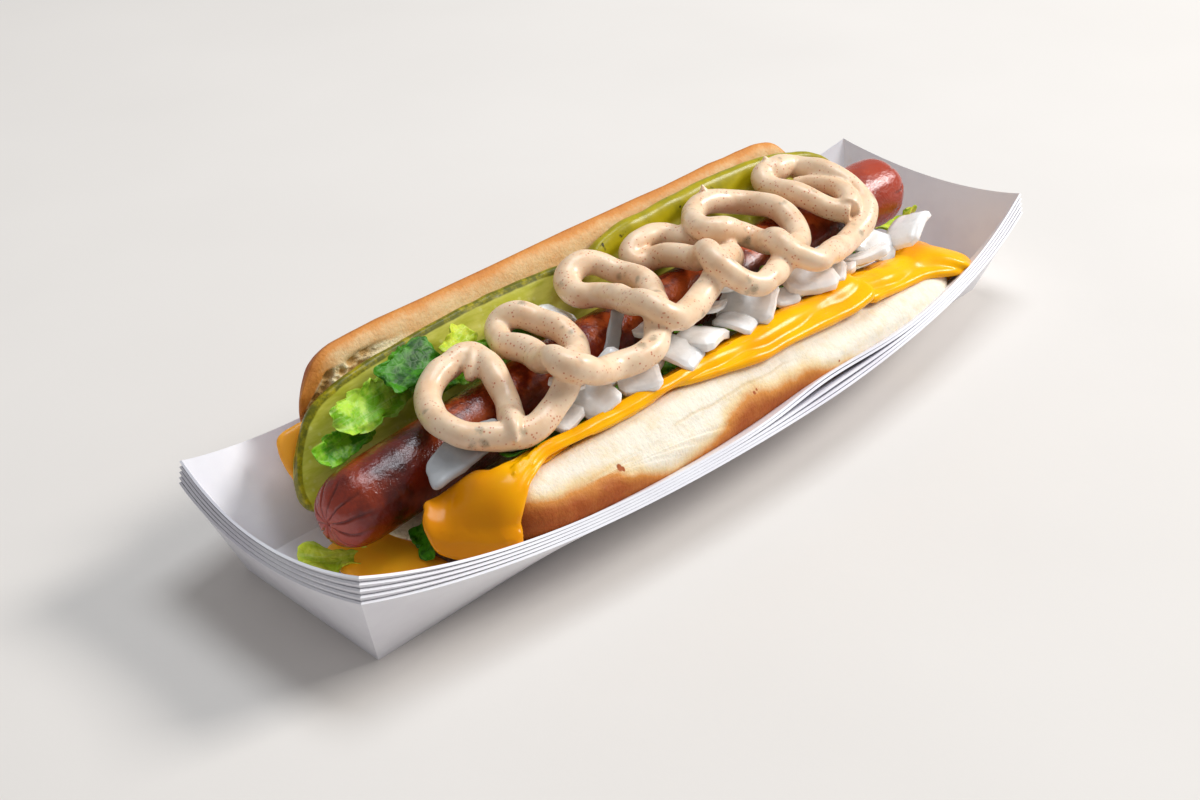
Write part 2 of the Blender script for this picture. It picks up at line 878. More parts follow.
def rough_up(piece: bpy.types.Object, size_mm: float, depth_mm: float, seed: float = 0.0,
             octaves: int = 2) -> None:
    """Moves each point along its normal by soft noise.

    Args:
        piece: The piece.
        size_mm: Rough size of one blotch.
        depth_mm: How far a point moves at most, roughly.
        seed: Moves the pattern.
        octaves: Number of finer layers.
    """
    points = points_of(piece)
    shift = clouds(points, size_mm, seed, octaves) * depth_mm * MM
    set_points(piece, points + normals_of(piece) * shift[:, None])


def dress(piece: bpy.types.Object, finish: bpy.types.Material, slot: str, *nodes: str) -> None:
    """Shades a piece smooth, gives it its finish and says which nodes it stands for.

    Args:
        piece: The finished piece.
        finish: Its material.
        slot: The record's material slot.
        *nodes: CAD nodes that it replaces.
    """
    piece.data.materials.clear()
    piece.data.materials.append(finish)
    piece.data.polygons.foreach_set("use_smooth", [True] * len(piece.data.polygons))
    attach(piece, "root")
    if nodes:
        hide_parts(*nodes)
    LOG.info("%s: %d faces", piece.name, len(piece.data.polygons))


@dataclass
class TrayStack:
    """Five nested paper trays with straight flaring walls and bowed rims."""

    layers: int = 5
    paper_mm: float = 0.45
    board_mm: float = 0.7
    layer_drop_mm: float = 0.8
    base_mm: tuple[float, float] = (128.5, 25.0)
    base_growth_mm: float = 0.55
    rim_mm: Place = (139.7, 36.4, 35.3)
    rim_growth_mm: float = 0.22
    rim_step_mm: float = 1.65
    side_bulge_mm: float = 15.1
    side_dip_mm: float = 13.2
    end_bulge_mm: float = 3.2
    end_dip_mm: float = 5.6
    bulge_growth_mm: float = 0.38
    dip_relief_mm: float = 1.15
    end_dip_relief_mm: float = 0.4
    squeeze_at_mm: float = 22.0
    squeeze_span_mm: float = 26.0
    squeeze_mm: tuple[float, ...] = (-3.4, -3.1, -0.9, 0.0, 0.3)
    side_steps: int = 72
    end_steps: int = 18
    wall_rows: int = 8
    sharp_degrees: float = 28.0

    def corner(self, layer: int) -> Place:
        """Where a tray's rim has its corners.

        Args:
            layer: Number of the tray, from 0 on top.

        Returns:
            Half its length, half its width and its height there, in millimetres.
        """
        length, width, height = self.rim_mm
        grown = self.rim_growth_mm * layer
        return length + grown, width + grown, height - self.rim_step_mm * layer

    def side_rim(self, layer: int, u: float, side: int) -> Place:
        """Rim point of a long wall.

        Args:
            layer: Number of the tray, from 0 on top.
            u: Place along the wall, from -1 to 1.
            side: -1 in front and 1 behind.

        Returns:
            The point in millimetres.
        """
        length, width, height = self.corner(layer)
        y = width + (self.side_bulge_mm + self.bulge_growth_mm * layer) * (1 - u * u)
        if side < 0:
            reach = (length * u - self.squeeze_at_mm) / self.squeeze_span_mm
            y += self.squeeze_mm[layer] * math.exp(-reach * reach)
        dip = (self.side_dip_mm - self.dip_relief_mm * layer) * (1 - u ** 4)
        return length * u, side * y, height - dip

    def end_rim(self, layer: int, v: float, side: int) -> Place:
        """Rim point of an end wall.

        Args:
            layer: Number of the tray, from 0 on top.
            v: Place across the wall, from -1 to 1.
            side: -1 at the left end and 1 at the right one.

        Returns:
            The point in millimetres.
        """
        length, width, height = self.corner(layer)
        bow = 1 - v * v
        dip = (self.end_dip_mm - self.end_dip_relief_mm * layer) * bow
        return side * (length + self.end_bulge_mm * bow), width * v, height - dip

    def outline(self, layer: int) -> list[tuple[Vector, Vector]]:
        """Matching points of the base edge and the rim, once round the tray.

        Args:
            layer: Number of the tray, from 0 on top.

        Returns:
            Pairs of a low and a high point, in millimetres.
        """
        length = self.base_mm[0] + self.base_growth_mm * layer
        width = self.base_mm[1] + self.base_growth_mm * layer
        floor = self.paper_mm / 2 + self.layer_drop_mm * (self.layers - 1 - layer)
        pairs = []
        for side, way in ((-1, 1), (1, -1)):
            for n in range(self.side_steps):
                u = way * (-1 + 2 * n / self.side_steps)
                low = Vector((length * u, side * width, floor))
                pairs.append((low, Vector(self.side_rim(layer, u, side))))
            for n in range(self.end_steps):
                v = way * (-1 + 2 * n / self.end_steps)
                low = Vector((way * length, width * v, floor))
                pairs.append((low, Vector(self.end_rim(layer, v, way))))
        return pairs

    def build(self, finish: bpy.types.Material) -> None:
        """Makes and dresses every tray.

        Args:
            finish: The paper material.
        """
        for layer in range(self.layers):
            pairs = self.outline(layer)
            around = len(pairs)
            vertices = [low.lerp(high, row / self.wall_rows) * MM
                        for row in range(self.wall_rows + 1) for low, high in pairs]
            faces = [tuple(range(around))]
            for row in range(self.wall_rows):
                for n in range(around):
                    after = (n + 1) % around
                    faces.append((row * around + n, row * around + after,
                                  (row + 1) * around + after, (row + 1) * around + n))
            name = f"paper_tray_{layer + 1}"
            piece = new_object(name, mesh_of(name, vertices, faces))
            shell = piece.modifiers.new("board", "SOLIDIFY")
            shell.thickness = self.board_mm * MM
            shell.offset = 0
            shell.use_quality_normals = True
            Refiner.apply(piece)
            dress(piece, finish, "paper", f"tray_{layer + 1}")
            piece.data.set_sharp_from_angle(angle=math.radians(self.sharp_degrees))


@dataclass
class Bun:
    """The sliced bun, with marks for its browning and its cut faces."""

    refiner: Refiner
    levels: int = 3
    heart_mm: float = 36.0
    pits: int = 420
    pit_mm: tuple[float, float] = (0.4, 2.6)
    swell_mm: float = 0.35
    low_mm: tuple[float, float] = (3.8, 28.0)
    low_front_mm: float = -22.0
    pits_above_mm: float = 24.0
    pits_behind_mm: float = 20.0
    crumb_behind_mm: float = 10.0
    brown_wander_mm: float = 2.2
    brown_lift_mm: float = 2.5
    brown_fade_mm: float = 7.0
    brown_most: float = 0.92
    brown_line_mm: tuple[Place, ...] = (
        (-104, 37, 0.95), (-88, 31, 1.0), (-77, 30, 1.0), (-68, 28.5, 1.0), (-60, 27.5, 1.0),
        (-50, 24.5, 0.8), (-38, 22, 0.6), (-26, 23, 0.7), (-16, 26.5, 0.95), (-2, 27.5, 1.0), (10, 27, 0.95),
        (20, 25.5, 0.85), (30, 22.5, 0.7), (40, 19, 0.5), (52, 16, 0.5), (70, 14.5, 0.5), (88, 16, 0.6),
        (98, 24, 1.0), (106, 38, 1.0))
    plump_mm: Pairs = (
        (-104, 0), (-86, 0.8), (-66, 2.4), (-40, 3.2), (0, 3.0), (30, 3.6), (50, 4.3), (68, 5.0), (84, 4.0),
        (98, 1.5), (105, 0))
    crust_roll_mm: Pairs = (
        (-106, 2.5), (-90, 3.5), (-76, 4.5), (-55, 6.6), (0, 6.0), (60, 5.6), (110, 6.0))
    ridge_mm: Pairs = (
        (-104, 37), (-99, 44), (-95, 47.7), (-84, 50), (84, 50), (96, 47.7), (105, 37))

    def browning(self, points: np.ndarray) -> np.ndarray:
        """How far each point is baked, 0 to 1.

        Args:
            points: Points in metres.

        Returns:
            One value for each point.
        """
        x, y, z = points.T / MM
        at, line, strength = np.array(self.brown_line_mm).T
        edge = np.interp(x, at, line) + self.brown_lift_mm + clouds(points, 14, 6.0) * self.brown_wander_mm
        front = ease((edge - z) / self.brown_fade_mm) * np.interp(x, at, strength)
        # But for its left end the foot of the front is paler, and the back browns outwards and to the left.
        front *= 1 - 0.25 * ease((17 - z) / 7) * ease((x + 60) / 20)
        back = 0.4 + 0.5 * ease((y - 31) / 7) + 0.25 * ease((-90 - x) / 10)
        share = ease((y + 6) / 12)
        under = ease((7 - z) / 4) * 0.6
        return np.maximum((1 - share) * front + share * back, under) * self.brown_most

    def open_face(self, piece: bpy.types.Object) -> np.ndarray:
        """How far each point belongs to the cut inside.

        Args:
            piece: The bun.

        Returns:
            One value from 0 to 1 for each point.
        """
        points = points_of(piece)
        x, y, z = points.T / MM
        normals = normals_of(piece)
        # A cut face looks towards the filling, and at the back the crust rolls over its upper edge.
        reach = np.hypot(y, z - self.heart_mm) + 1e-6
        inward = -(normals[:, 1] * y + normals[:, 2] * (z - self.heart_mm)) / reach
        cut = ease((inward - 0.05) / 0.25)
        roll = along(self.crust_roll_mm, x) + clouds(points, 7, 2.0) * 0.9
        rolled = ease((along(self.ridge_mm, x) - z - roll) / 1.1)
        return np.where(y > 10, cut * rolled, cut)

    def refine_crumb(self, piece: bpy.types.Object) -> None:
        """Subdivides the cut faces that show, so that they can take pits.

        Args:
            piece: The bun.
        """
        cut = self.open_face(piece)
        shaped = bmesh.new()
        shaped.from_mesh(piece.data)
        shaped.verts.ensure_lookup_table()
        chosen = []
        for face in shaped.faces:
            x, y, z = face.calc_center_median()
            shows = z > self.pits_above_mm * MM and y > self.crumb_behind_mm * MM
            if shows and (x < -60 * MM or z > 39 * MM) and min(cut[v.index] for v in face.verts) > 0.3:
                chosen.append(face)
        edges = list({e for f in chosen for e in f.edges})
        bmesh.ops.subdivide_edges(shaped, edges=edges, cuts=1, use_grid_fill=True)
        shaped.to_mesh(piece.data)
        shaped.free()

    def build(self, finish: bpy.types.Material) -> None:
        """Makes and dresses the bun.

        Args:
            finish: The bun material.
        """
        piece = self.refiner.copy("bun", "sliced_bun", self.levels)
        self.refine_crumb(piece)
        cut = self.open_face(piece)
        points, normals = points_of(piece), normals_of(piece)
        x, y, z = points.T / MM
        bottom, top = self.low_mm
        low = ease((top - z) / 8) * ease((z - bottom) / 3) * ease((self.low_front_mm - y) / 8)
        plump = along(self.plump_mm, x) * low
        set_points(piece, points + normals * (plump + self.swell_mm * (z > 6))[:, None] * MM)
        rough_up(piece, 18, 0.5, 3.0)
        rough_up(piece, 4.5, 0.14, 9.0, 3)
        points, normals = points_of(piece), normals_of(piece)
        rng = np.random.default_rng(11)
        high, behind = points[:, 2] > self.pits_above_mm * MM, points[:, 1] > self.pits_behind_mm * MM
        inside = np.flatnonzero((cut > 0.6) & high & behind)
        centres = points[rng.choice(inside, self.pits, replace=False)]
        sizes = (self.pit_mm[0] + (self.pit_mm[1] - self.pit_mm[0]) * rng.random(self.pits) ** 3) * MM
        depth = np.zeros(len(points))
        # Each pit is a shallow bowl, and the deepest one counts where two meet.
        for centre, size in zip(centres, sizes):
            near = np.flatnonzero(np.abs(points[:, 0] - centre[0]) < size)
            gap = np.linalg.norm(points[near] - centre, axis=1) / size
            depth[near] = np.maximum(depth[near], size * 0.9 * np.clip(1 - gap * gap, 0, 1))
        depth *= cut
        paint(piece, "pit", depth / (1.2 * MM))
        paint(piece, "cut", cut)
        paint(piece, "baked", self.browning(points))
        set_points(piece, points - normals * depth[:, None])
        dress(piece, finish, "crust", "bun")


@dataclass
class Sausage:
    """The grilled frank, with pinched ends."""

    refiner: Refiner
    levels: int = 3
    ends_mm: tuple[float, float] = (-124.0, 119.5)
    creases: int = 11
    crease_wide: float = 0.4
    crease_deep_mm: float = 0.8
    crease_reach_mm: float = 12.0
    round_mm: float = 1.6
    cap_mm: float = 6.0

    def build(self, finish: bpy.types.Material) -> None:
        """Makes and dresses the sausage.

        Args:
            finish: The sausage material.
        """
        piece = self.refiner.copy("sausage", "grilled_frank", self.levels)
        points, normals = points_of(piece), normals_of(piece)
        x = points[:, 0] / MM
        tip = np.maximum(ease((-115 - x) / 9) * 0.75, ease((x - 80) / 30))
        paint(piece, "tip", tip)
        paint(piece, "top", ease((normals[:, 2] - 0.45) / 0.4) * ease((x + 94) / 8))
        shift, marks = np.zeros(len(x)), np.zeros(len(x))
        for end in self.ends_mm:
            from_end = np.abs(x - end)
            middle = points[from_end < self.cap_mm][:, 1:].mean(axis=0)
            turn = np.arctan2(points[:, 1] - middle[0], points[:, 2] - middle[1])
            wander = clouds(points, 9, end)
            wave = np.abs(np.sin(turn * self.creases / 2 + wander * 1.4))
            groove = np.clip(1 - wave / self.crease_wide, 0, 1) ** 1.5
            fade = ease((self.crease_reach_mm + 6 * wander - from_end) / 8) * ease(from_end / 0.6)
            marks = np.maximum(marks, groove * fade)
            shift -= groove * fade * self.crease_deep_mm * MM
            shift -= np.clip(1 - from_end / self.round_mm, 0, 1) * self.crease_deep_mm * MM
        paint(piece, "groove", marks)
        set_points(piece, points + normals * shift[:, None])
        rough_up(piece, 12, 0.25, 5.0)
        rough_up(piece, 2.4, 0.06, 8.0)
        dress(piece, finish, "sausage", "sausage")


def from_edge(flat: np.ndarray) -> np.ndarray:
    """How far each flat point lies inside the outline of all of them.

    Args:
        flat: Points in a plane, one row each.

    Returns:
        The distance of each point from the convex outline.
    """
    order = flat[np.lexsort((flat[:, 1], flat[:, 0]))]
    chains = []
    for run in (order, order[::-1]):
        chain: list[np.ndarray] = []
        for point in run:
            while len(chain) > 1:
                (ax, ay), (bx, by) = chain[-1] - chain[-2], point - chain[-2]
                if ax * by - ay * bx > 0:
                    break
                chain.pop()
            chain.append(point)
        chains += chain[:-1]
    outline = np.array(chains)
    best = np.full(len(flat), np.inf)
    for a, b in zip(outline, np.roll(outline, -1, axis=0)):
        way = b - a
        length = np.linalg.norm(way)
        if length > 1e-9:
            best = np.minimum(best, np.abs((flat - a) @ np.array((-way[1], way[0]))) / length)
    return best


@dataclass
class PickleSpears:
    """Two pickle planks that lean on the back of the bun."""

    refiner: Refiner
    skin_mm: float = 1.7
    back_mm: float = 6.2
    top_mm: Pairs = ((-4, 48.5), (30, 51), (75, 51), (112, 45))

    def build(self, finish: bpy.types.Material) -> None:
        """Makes and dresses both planks.

        Args:
            finish: The pickle material.
        """
        for number in (1, 2):
            piece = self.refiner.copy(f"pickle_{number}", f"pickle_plank_{number}", 3)
            points = points_of(piece)
            x, _, z = points.T / MM
            rim = from_edge(points[:, [0, 2]] / MM) + 0.25 * clouds(points, 5, 3.0)
            paint(piece, "skin", ease((self.skin_mm - rim) / 1.2))
            top = along(self.top_mm, x)
            wander = clouds(points, 16, 8.0)
            back = ease((z - top + self.back_mm + 1.5 * wander) / 1.4)
            paint(piece, "back", back if number == 2 else 0 * x)
            rough_up(piece, 10, 0.35, number)
            dress(piece, finish, "pickle", f"pickle_{number}")


def above_edge(points: np.ndarray, chosen: np.ndarray) -> np.ndarray:
    """Height of each point above the lower edge of the chosen ones.

    Args:
        points: Points in metres.
        chosen: Which points the edge is read from.

    Returns:
        One height in millimetres for each point.
    """
    x, _, z = points.T / MM
    columns = np.arange(x.min(), x.max() + 3, 3.0)
    low = np.array([z[chosen & (np.abs(x - at) < 3)].min(initial=40) for at in columns])
    return z - np.interp(x, columns, soften(low, 3))


@dataclass
class CheeseSlices:
    """Melted slices that drape over both lips of the bun and the tray floor."""

    refiner: Refiner
    swell_mm: float = 0.55
    voxel_mm: float = 0.7
    front_mm: float = -20.0
    folds_mm: tuple[tuple[float, float, float, float], ...] = (
        (1.9, 1.0, 1.5, 1.0), (4.6, 1.5, 1.1, -0.7), (7.0, 2.0, 1.4, 0.6))
    lap_from_mm: float = 38.0
    lap_mm: Place = (5.5, -0.3, 1.5)
    dent_at_mm: Place = (-102.5, -31.0, 28.0)
    dent_size_mm: Place = (9.0, 9.0, 5.5)
    dent_mm: Place = (1.5, 1.3, -0.8)
    pull_mm: Place = (6.5, -5.0, -0.6)
    corner_mm: Place = (6.0, -1.0, -0.5)
    slide_mm: Pairs = (
        (-92, 0), (-85, 4.5), (-76, 7), (-62, 6.2), (-40, 5.2), (-27, 4.6), (-10, 2.6), (5, 0))
    inner_mm: Pairs = (
        (-91, 0), (-84, 4.5), (-74, 5.5), (-60, 5.0), (-50, 3.5), (-40, 1.8), (-20, 1.0), (0, 0))
    floor_spread: float = 1.18
    floor_shift_mm: Place = (3.0, 1.5, 0.7)
    nodes: tuple[str, ...] = ("cheese_front", "cheese_right", "cheese_floor", "cheese_back")

    def fold(self, piece: bpy.types.Object) -> None:
        """Gives a slice its thick rolled lower edge, with a groove and long soft folds above it.

        Args:
            piece: A slice on the front of the bun.
        """
        points, normals = points_of(piece), normals_of(piece)
        x, y, _ = points.T / MM
        outer = (normals[:, 1] < 0.2) & (y < self.front_mm)
        above = above_edge(points, outer)
        wander = clouds(points * (0.35, 0, 0), 9, 1.5)
        relief = np.zeros(len(x))
        for height, sway, width, depth in self.folds_mm:
            relief = relief + np.exp(-((above - height - sway * wander) / width) ** 2) * depth
        keep = ease((x + 84) / 12) * outer
        set_points(piece, points + normals * (relief * keep * MM)[:, None])

    def trim(self, points: np.ndarray) -> np.ndarray:
        """Slides the slice's lower edge up, its upper edge out and its tongue's corner to the right.

        Args:
            points: Points of the front slice in metres.

        Returns:
            The moved points, as far from the bun as before.
        """
        x, y, z = points.T / MM
        above = above_edge(points, y < self.front_mm)
        # The lower edge slides up, the upper edge moves out and the tongue's corner goes right.
        slide = along(self.slide_mm, x) * ease((13 - above) / 13) * (y < -26)
        inner = along(self.inner_mm, x) * ease((y + 30.5) / 4)
        corner = ease((x + 108) / 7) * ease((-84 - x) / 6) * ease((28 - z) / 5)
        moved = points + np.outer(slide, (0, 0.77, 0.64)) * MM
        moved = moved + np.outer(inner, (0, -1.0, -0.5)) * MM + np.outer(corner, self.corner_mm) * MM
        node = self.refiner.frame["nodes"]["bun"]
        bun = BVHTree.FromPolygons([node.matrix_world @ v.co for v in node.data.vertices],
                                   [tuple(f.vertices) for f in node.data.polygons])
        # Each moved point keeps its height over the bun, and the corner is never pulled in.
        for number in np.flatnonzero((np.abs(slide) > 0.02) | (corner > 0.02)):
            gaps = []
            for point in (points[number], moved[number]):
                spot, normal, _, _ = bun.find_nearest(Vector(point))
                gaps.append((Vector(point) - spot).dot(normal))
            push = gaps[0] - gaps[1]
            if corner[number] < 0.02 or push > 0:
                moved[number] += np.array(normal) * push
        return moved

    def lap(self, piece: bpy.types.Object, node: str) -> None:
        """Laps the front slice, dents its tongue, pulls the right slice out and spreads the lowest.

        Args:
            piece: A slice.
            node: The node that it replaces.
        """
        points = points_of(piece)
        x, y, _ = points.T / MM
        if node == "cheese_front":
            points = points + np.outer(ease((x - self.lap_from_mm) / 13), self.lap_mm) * MM
            away = np.linalg.norm((points / MM - self.dent_at_mm) / self.dent_size_mm, axis=1)
            points = points + np.outer(np.exp(-away ** 2), self.dent_mm) * MM
            points = self.trim(points)
        if node == "cheese_right":
            corner = ease((x - 83) / 12) * ease((-27 - y) / 7)
            points = points + np.outer(corner, self.pull_mm) * MM
        if node == "cheese_floor":
            middle = points.mean(axis=0)
            points = middle + (points - middle) * (self.floor_spread, self.floor_spread, 1)
            points = points + np.array(self.floor_shift_mm) * MM
        set_points(piece, points)

    def build(self, finish: bpy.types.Material) -> None:
        """Makes and dresses every slice.

        Args:
            finish: The cheese material.
        """
        for node in self.nodes:
            piece = self.refiner.copy(node, node.replace("cheese", "melted_slice"), 2)
            set_points(piece, points_of(piece) + normals_of(piece) * self.swell_mm * MM)
            self.refiner.melt(piece, self.voxel_mm, 9)
            self.lap(piece, node)
            if node in ("cheese_front", "cheese_right"):
                self.refiner.soften(piece, 5)
                self.fold(piece)
            points = points_of(piece)
            rough_up(piece, 14, 0.3, 4.0)
            x, y, _ = points.T / MM
            paint(piece, "thin", 0 * y + 0.8 if node == "cheese_back" else ease((y + 27) / 6) * 0.35)
            paint(piece, "hanging", ease((-82 - x) / 16) * (node == "cheese_front") * 0.85)
            dress(piece, finish, "cheese", node)


def own_axes(points: np.ndarray) -> tuple[np.ndarray, np.ndarray]:
    """Fits a piece's own axes to its points.

    Args:
        points: Points in metres.

    Returns:
        The long, wide and thin axes as rows, and the points along them from -1 to 1.
    """
    middle = (points.max(axis=0) + points.min(axis=0)) / 2
    _, _, axes = np.linalg.svd(points - points.mean(axis=0), full_matrices=False)
    places = (points - middle) @ axes.T
    return axes, places / np.abs(places).max(axis=0)


@dataclass
class LettuceLeaves:
    """Torn leaves and shreds of lettuce."""

    refiner: Refiner
    ruffle_mm: float = 1.5
    rim_mm: float = 2.5
    torn_mm: float = 2.6
    frill_mm: float = 2.2
    thinner: float = 0.35
    strip_wider: float = 0.35
    strip_lift_mm: Place = (1.0, -6.2, 2.2)
    kinds: dict[str, Leafage] = field(default_factory=lambda: {
        "lettuce_pale": Leafage.PALE, "lettuce_left": Leafage.FRESH, "lettuce_dark": Leafage.DARK,
        "lettuce_strip": Leafage.DARK, "lettuce_frill": Leafage.YELLOW, "lettuce_floor": Leafage.YELLOW,
        "lettuce_under": Leafage.DARK, "lettuce_right": Leafage.YELLOW,
    })

    def build(self, frame: dict) -> None:
        """Makes and dresses every leaf.

        Args:
            frame: The loaded frame.
        """
        finishes = {kind: LettuceFinish(kind).material() for kind in Leafage}
        for number, node in enumerate(sorted(n for n in frame["nodes"] if n.startswith("lettuce"))):
            piece = self.refiner.copy(node, node.replace("lettuce", "leaf"), 3)
            points = points_of(piece)
            axes, places = own_axes(points)
            paint(piece, "along", places[:, 0] / 2 + 0.5)
            paint(piece, "across", places[:, 1] / 2 + 0.5)
            edge = np.clip(np.hypot(places[:, 0] * 0.8, places[:, 1]), 0, 1.2) ** 2
            points = points - np.outer((points - points.mean(axis=0)) @ axes[2], axes[2]) * self.thinner
            ruffle = clouds(points, 12, number * 3.1) * (0.5 + edge) * self.ruffle_mm * MM
            rim = ease(1 - from_edge(points @ axes[:2].T) / (self.rim_mm * MM))
            torn = clouds(points, 6.0, number * 5.7, 3) * rim * self.torn_mm * MM
            outward = points - points.mean(axis=0)
            outward -= np.outer(outward @ axes[2], axes[2])
            outward /= np.linalg.norm(outward, axis=1)[:, None] + 1e-9
            frill = clouds(points, 5.0, number * 2.3) * rim * self.frill_mm * MM
            set_points(piece, points + np.outer(ruffle + frill, axes[2]) + outward * torn[:, None])
            if node == "lettuce_strip":
                strip = points_of(piece)
                away = (strip - strip.mean(axis=0)) @ axes[1]
                strip = strip + np.outer(away, axes[1]) * self.strip_wider
                set_points(piece, strip + np.array(self.strip_lift_mm) * MM)
            rough_up(piece, 1.6, 0.06, 7.0)
            dress(piece, finishes[self.kinds.get(node, Leafage.FRESH)], "lettuce", node)


@dataclass
class OnionPieces:
    """Diced raw onion and curved slivers."""

    refiner: Refiner
    bend: float = 0.2
    spread: float = 1.45
    squash: float = 0.58
    petal_spread: float = 1.18
    sharp_degrees: float = 38.0
    petal_shift_mm: Place = (0.5, -1.2, 1.2)

    def build(self, frame: dict, finish: bpy.types.Material) -> None:
        """Makes and dresses every piece of onion, each bent like the layer that it was cut from.

        Args:
            frame: The loaded frame.
            finish: The onion material.
        """
        for number, node in enumerate(sorted(n for n in frame["nodes"] if n.startswith("onion"))):
            diced = node[-1].isdigit() and "sliver" not in node
            piece = self.refiner.copy(node, "raw_" + node, 3, plain=diced)
            points = points_of(piece)
            axes, places = own_axes(points)
            size = np.abs(points - points.mean(axis=0)).max()
            bow = (0.4 - places[:, 0] ** 2) * self.bend * size * (1 if number % 2 else -1)
            wide, thin = (self.spread, self.squash) if diced else (self.petal_spread, 1.0)
            away = (points - points.mean(axis=0)) @ axes.T
            points = points.mean(axis=0) + (away * (wide, wide, thin)) @ axes
            if diced:
                points = points + np.outer(bow, axes[2])
            if node == "onion_petal":
                points = points + np.array(self.petal_shift_mm) * MM
            set_points(piece, points)
            paint(piece, "clear", np.full(len(points), 0.0 if diced else 0.8))
            rough_up(piece, 4.5, 0.35, float(number), 2)
            dress(piece, finish, "onion", node)
            piece.data.set_sharp_from_angle(angle=math.radians(self.sharp_degrees))


def spline(points: np.ndarray, count: int) -> np.ndarray:
    """Even steps of a smooth curve through points.

    Args:
        points: Points to pass through, one row each.
        count: Number of points wanted.

    Returns:
        The points of the curve, evenly shared out by parameter.
    """
    points = np.asarray(points, float)
    at = np.linspace(0, len(points) - 1, count)
    i = np.minimum(at.astype(int), len(points) - 2)
    f = (at - i)[:, None]
    padded = np.vstack([2 * points[0] - points[1], points, 2 * points[-1] - points[-2]])
    p0, p1, p2, p3 = (padded[i + k] for k in range(4))
    return 0.5 * (2 * p1 + (p2 - p0) * f + (2 * p0 - 5 * p1 + 4 * p2 - p3) * f ** 2
                  + (3 * p1 - p0 - 3 * p2 + p3) * f ** 3)


def even_steps(points: np.ndarray, step: float) -> np.ndarray:
    """Points at equal distances along a line of points.

    Args:
        points: The line's points, one row each.
        step: Distance wanted between two points.

    Returns:
        The new points, one row each.
    """
    run = np.concatenate([[0], np.cumsum(np.linalg.norm(np.diff(points, axis=0), axis=1))])
    at = np.linspace(0, run[-1], int(run[-1] / step) + 1)
    return np.column_stack([np.interp(at, run, column) for column in points.T])


def soften(values: np.ndarray, passes: int) -> np.ndarray:
    """Evens a row of values or points, keeping both ends.

    Args:
        values: The row.
        passes: How often it is evened.

    Returns:
        The evened row.
    """
    values = values.copy()
    for _ in range(passes):
        values[1:-1] = (values[:-2] + 2 * values[1:-1] + values[2:]) / 4
    return values


def tube(name: str, path_mm: np.ndarray, radii_mm: np.ndarray, sides: int) -> bpy.types.Object:
    """A closed round rope along a path.

    Args:
        name: Name of the new piece.
        path_mm: Points of its middle line, in millimetres.
        radii_mm: Its radius at each point, in millimetres.
        sides: Number of faces round it.

    Returns:
        The new object.
    """
    tangents = np.gradient(path_mm, axis=0)
    tangents /= np.linalg.norm(tangents, axis=1)[:, None]
    across = np.cross(tangents, (0.0, 0.0, 1.0))
    across /= np.linalg.norm(across, axis=1)[:, None] + 1e-9
    above = np.cross(across, tangents)
    turns = np.linspace(0, 2 * math.pi, sides, endpoint=False)[None, :, None]
    round_it = np.cos(turns) * across[:, None, :] + np.sin(turns) * above[:, None, :]
    rings = path_mm[:, None, :] + radii_mm[:, None, None] * round_it
    count = len(path_mm)
    faces = []
    for start in range(0, (count - 1) * sides, sides):
        for k in range(sides):
            after = (k + 1) % sides
            faces.append((start + k, start + after, start + sides + after, start + sides + k))
    faces += [tuple(range(sides)), tuple(range((count - 1) * sides, count * sides))]
    return new_object(name, mesh_of(name, (rings.reshape(-1, 3) * MM).tolist(), faces))


def join(name: str, pieces: list[bpy.types.Object]) -> bpy.types.Object:
    """Puts several pieces into one mesh.

    Args:
        name: Name of the joined piece.
        pieces: Pieces to join, which are removed.

    Returns:
        The joined object.
    """
    shaped = bmesh.new()
    for piece in pieces:
        shaped.from_mesh(piece.data)
    mesh = bpy.data.meshes.new(name)
    shaped.to_mesh(mesh)
    shaped.free()
    for piece in pieces:
        bpy.data.objects.remove(piece)
    return new_object(name, mesh)


